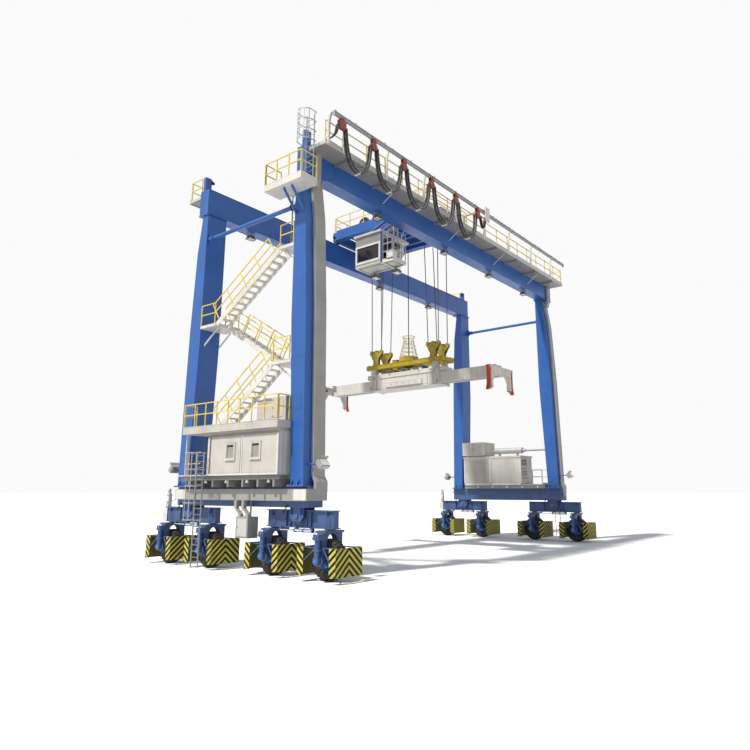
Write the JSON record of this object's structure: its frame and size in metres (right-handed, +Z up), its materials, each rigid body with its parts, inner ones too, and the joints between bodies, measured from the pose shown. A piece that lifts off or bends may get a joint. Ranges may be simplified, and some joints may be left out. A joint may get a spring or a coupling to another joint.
{
  "type": "rubber tyred gantry crane",
  "caption": "Rubber tyred gantry crane with a trolley, cab and telescopic container spreader on two girders, steerable wheel bogies, stairs, houses and a cable festoon",
  "frame": {"origin": "on the ground, midway between the left and right wheel tracks and between the front and rear bogies", "axes": "+X along the span from the left side to the right side, +Y along the gantry travel from front to rear, +Z up"},
  "size_m": [29.82, 13.76, 22.262],
  "materials": {
    "blue_paint": "semi_gloss",
    "white_paint": "semi_gloss",
    "grey_paint": "semi_gloss",
    "yellow_paint": "semi_gloss",
    "mustard_paint": "semi_gloss",
    "red_paint": "semi_gloss",
    "orange_paint": "semi_gloss",
    "galvanised": "matte",
    "tyre_rubber": "matte",
    "cable_rubber": "matte",
    "wire_rope": "matte"
  },
  "bodies": {
    "structure": {"legs_left": "blue_paint", "legs_right": "blue_paint", "sill_beam_left": "blue_paint", "sill_beam_right": "blue_paint", "girder_front": "blue_paint", "girder_rear": "blue_paint", "portal_ties": "blue_paint", "walkways": "white_paint", "handrails": "yellow_paint", "stairs": "white_paint", "access_ladder": "galvanised", "top_ladder": "galvanised", "plain_ladders": "galvanised", "top_platform": "white_paint", "electric_house": "white_paint", "generator_house": "white_paint", "floodlights": "galvanised", "cable_ducts": "grey_paint", "festoon_track": "galvanised", "festoon_cables": "cable_rubber"},
    "trolley": {"trolley_frame": "blue_paint", "trolley_machinery": "grey_paint", "trolley_handrails": "yellow_paint", "operator_cab": "white_paint", "cab_landing": "galvanised", "towing_arm": "white_paint"},
    "drum": {"hoist_drum": "wire_rope"},
    "hoist": {"hoist_ropes": "wire_rope", "headblock": "mustard_paint", "spreader_body": "white_paint"},
    "front_telescope": {"telescope_front": "white_paint"},
    "rear_telescope": {"telescope_rear": "white_paint"},
    "flipper_front_left": {"flipper_front_left": "orange_paint"},
    "flipper_front_right": {"flipper_front_right": "orange_paint"},
    "flipper_rear_left": {"flipper_rear_left": "orange_paint"},
    "flipper_rear_right": {"flipper_rear_right": "orange_paint"},
    "carrier_1": {"festoon_carrier_1": "red_paint"},
    "carrier_2": {"festoon_carrier_2": "red_paint"},
    "carrier_3": {"festoon_carrier_3": "red_paint"},
    "carrier_4": {"festoon_carrier_4": "red_paint"},
    "bogie_front_left": {"equaliser_front_left": "blue_paint"},
    "steering_front_left_outer": {"fork_front_left_outer": "blue_paint"},
    "wheel_front_left_outer_body": {"wheel_front_left_outer": "tyre_rubber"},
    "steering_front_left_inner": {"fork_front_left_inner": "blue_paint"},
    "wheel_front_left_inner_body": {"wheel_front_left_inner": "tyre_rubber"},
    "bogie_front_right": {"equaliser_front_right": "blue_paint"},
    "steering_front_right_outer": {"fork_front_right_outer": "blue_paint"},
    "wheel_front_right_outer_body": {"wheel_front_right_outer": "tyre_rubber"},
    "steering_front_right_inner": {"fork_front_right_inner": "blue_paint"},
    "wheel_front_right_inner_body": {"wheel_front_right_inner": "tyre_rubber"},
    "bogie_rear_left": {"equaliser_rear_left": "blue_paint"},
    "steering_rear_left_outer": {"fork_rear_left_outer": "blue_paint"},
    "wheel_rear_left_outer_body": {"wheel_rear_left_outer": "tyre_rubber"},
    "steering_rear_left_inner": {"fork_rear_left_inner": "blue_paint"},
    "wheel_rear_left_inner_body": {"wheel_rear_left_inner": "tyre_rubber"},
    "bogie_rear_right": {"equaliser_rear_right": "blue_paint"},
    "steering_rear_right_outer": {"fork_rear_right_outer": "blue_paint"},
    "wheel_rear_right_outer_body": {"wheel_rear_right_outer": "tyre_rubber"},
    "steering_rear_right_inner": {"fork_rear_right_inner": "blue_paint"},
    "wheel_rear_right_inner_body": {"wheel_rear_right_inner": "tyre_rubber"}
  },
  "joints": [
    {"name": "trolley_travel", "type": "slide", "parent": "structure", "child": "trolley", "axis": [1, 0, 0], "range_m": [-5.9, 10], "deforming": ["festoon_cables"]},
    {"name": "hoist_travel", "type": "slide", "parent": "trolley", "child": "hoist", "axis": [0, 0, 1], "range_m": [-6.9, 6.3], "deforming": ["hoist_ropes"]},
    {"name": "drum_turn", "type": "hinge", "parent": "trolley", "child": "drum", "pos_m": [-1.4, 2, 21.69], "axis": [1, 0, 0], "continuous": true},
    {"name": "front_telescope_slide", "type": "slide", "parent": "hoist", "child": "front_telescope", "axis": [0, 1, 0], "range_m": [0, 3.828]},
    {"name": "rear_telescope_slide", "type": "slide", "parent": "hoist", "child": "rear_telescope", "axis": [0, -1, 0], "range_m": [0, 3.828]},
    {"name": "flipper_front_left_swing", "type": "hinge", "parent": "front_telescope", "child": "flipper_front_left", "pos_m": [-1.245, -6.755, 10.76], "axis": [0, 1, 0], "range_deg": [0, 170]},
    {"name": "flipper_front_right_swing", "type": "hinge", "parent": "front_telescope", "child": "flipper_front_right", "pos_m": [1.445, -6.755, 10.76], "axis": [0, -1, 0], "range_deg": [0, 170]},
    {"name": "flipper_rear_left_swing", "type": "hinge", "parent": "rear_telescope", "child": "flipper_rear_left", "pos_m": [-1.245, 6.755, 10.76], "axis": [0, 1, 0], "range_deg": [0, 170]},
    {"name": "flipper_rear_right_swing", "type": "hinge", "parent": "rear_telescope", "child": "flipper_rear_right", "pos_m": [1.445, 6.755, 10.76], "axis": [0, -1, 0], "range_deg": [0, 170]},
    {"name": "carrier_1_travel", "type": "slide", "parent": "structure", "child": "carrier_1", "axis": [1, 0, 0], "range_m": [-1.2, 2.02]},
    {"name": "carrier_2_travel", "type": "slide", "parent": "carrier_1", "child": "carrier_2", "axis": [1, 0, 0], "range_m": [-1.2, 2.02]},
    {"name": "carrier_3_travel", "type": "slide", "parent": "carrier_2", "child": "carrier_3", "axis": [1, 0, 0], "range_m": [-1.2, 2.02]},
    {"name": "carrier_4_travel", "type": "slide", "parent": "carrier_3", "child": "carrier_4", "axis": [1, 0, 0], "range_m": [-1.2, 2.02]},
    {"name": "bogie_front_left_rock", "type": "hinge", "parent": "structure", "child": "bogie_front_left", "pos_m": [-13.25, -3.96, 2.56], "axis": [1, 0, 0], "range_deg": [-2, 2]},
    {"name": "steer_front_left_outer", "type": "hinge", "parent": "bogie_front_left", "child": "steering_front_left_outer", "pos_m": [-13.25, -5.645, 2.03], "axis": [0, 0, 1], "range_deg": [0, 90]},
    {"name": "roll_front_left_outer", "type": "hinge", "parent": "steering_front_left_outer", "child": "wheel_front_left_outer_body", "pos_m": [-13.25, -5.645, 0.85], "axis": [1, 0, 0], "continuous": true},
    {"name": "steer_front_left_inner", "type": "hinge", "parent": "bogie_front_left", "child": "steering_front_left_inner", "pos_m": [-13.25, -2.275, 2.03], "axis": [0, 0, 1], "range_deg": [0, 90]},
    {"name": "roll_front_left_inner", "type": "hinge", "parent": "steering_front_left_inner", "child": "wheel_front_left_inner_body", "pos_m": [-13.25, -2.275, 0.85], "axis": [1, 0, 0], "continuous": true},
    {"name": "bogie_front_right_rock", "type": "hinge", "parent": "structure", "child": "bogie_front_right", "pos_m": [13.25, -3.96, 2.56], "axis": [1, 0, 0], "range_deg": [-2, 2]},
    {"name": "steer_front_right_outer", "type": "hinge", "parent": "bogie_front_right", "child": "steering_front_right_outer", "pos_m": [13.25, -5.645, 2.03], "axis": [0, 0, 1], "range_deg": [0, 90]},
    {"name": "roll_front_right_outer", "type": "hinge", "parent": "steering_front_right_outer", "child": "wheel_front_right_outer_body", "pos_m": [13.25, -5.645, 0.85], "axis": [1, 0, 0], "continuous": true},
    {"name": "steer_front_right_inner", "type": "hinge", "parent": "bogie_front_right", "child": "steering_front_right_inner", "pos_m": [13.25, -2.275, 2.03], "axis": [0, 0, 1], "range_deg": [0, 90]},
    {"name": "roll_front_right_inner", "type": "hinge", "parent": "steering_front_right_inner", "child": "wheel_front_right_inner_body", "pos_m": [13.25, -2.275, 0.85], "axis": [1, 0, 0], "continuous": true},
    {"name": "bogie_rear_left_rock", "type": "hinge", "parent": "structure", "child": "bogie_rear_left", "pos_m": [-13.25, 3.96, 2.56], "axis": [1, 0, 0], "range_deg": [-2, 2]},
    {"name": "steer_rear_left_outer", "type": "hinge", "parent": "bogie_rear_left", "child": "steering_rear_left_outer", "pos_m": [-13.25, 5.645, 2.03], "axis": [0, 0, 1], "range_deg": [0, 90]},
    {"name": "roll_rear_left_outer", "type": "hinge", "parent": "steering_rear_left_outer", "child": "wheel_rear_left_outer_body", "pos_m": [-13.25, 5.645, 0.85], "axis": [1, 0, 0], "continuous": true},
    {"name": "steer_rear_left_inner", "type": "hinge", "parent": "bogie_rear_left", "child": "steering_rear_left_inner", "pos_m": [-13.25, 2.275, 2.03], "axis": [0, 0, 1], "range_deg": [0, 90]},
    {"name": "roll_rear_left_inner", "type": "hinge", "parent": "steering_rear_left_inner", "child": "wheel_rear_left_inner_body", "pos_m": [-13.25, 2.275, 0.85], "axis": [1, 0, 0], "continuous": true},
    {"name": "bogie_rear_right_rock", "type": "hinge", "parent": "structure", "child": "bogie_rear_right", "pos_m": [13.25, 3.96, 2.56], "axis": [1, 0, 0], "range_deg": [-2, 2]},
    {"name": "steer_rear_right_outer", "type": "hinge", "parent": "bogie_rear_right", "child": "steering_rear_right_outer", "pos_m": [13.25, 5.645, 2.03], "axis": [0, 0, 1], "range_deg": [0, 90]},
    {"name": "roll_rear_right_outer", "type": "hinge", "parent": "steering_rear_right_outer", "child": "wheel_rear_right_outer_body", "pos_m": [13.25, 5.645, 0.85], "axis": [1, 0, 0], "continuous": true},
    {"name": "steer_rear_right_inner", "type": "hinge", "parent": "bogie_rear_right", "child": "steering_rear_right_inner", "pos_m": [13.25, 2.275, 2.03], "axis": [0, 0, 1], "range_deg": [0, 90]},
    {"name": "roll_rear_right_inner", "type": "hinge", "parent": "steering_rear_right_inner", "child": "wheel_rear_right_inner_body", "pos_m": [13.25, 2.275, 0.85], "axis": [1, 0, 0], "continuous": true}
  ],
  "couplings": [
    {"joint": "drum_turn", "follows": "hoist_travel", "rad_per_m": 5},
    {"joint": "rear_telescope_slide", "follows": "front_telescope_slide", "ratio": 1},
    {"joint": "carrier_1_travel", "follows": "trolley_travel", "ratio": 0.2},
    {"joint": "carrier_2_travel", "follows": "trolley_travel", "ratio": 0.2},
    {"joint": "carrier_3_travel", "follows": "trolley_travel", "ratio": 0.2},
    {"joint": "carrier_4_travel", "follows": "trolley_travel", "ratio": 0.2}
  ]
}
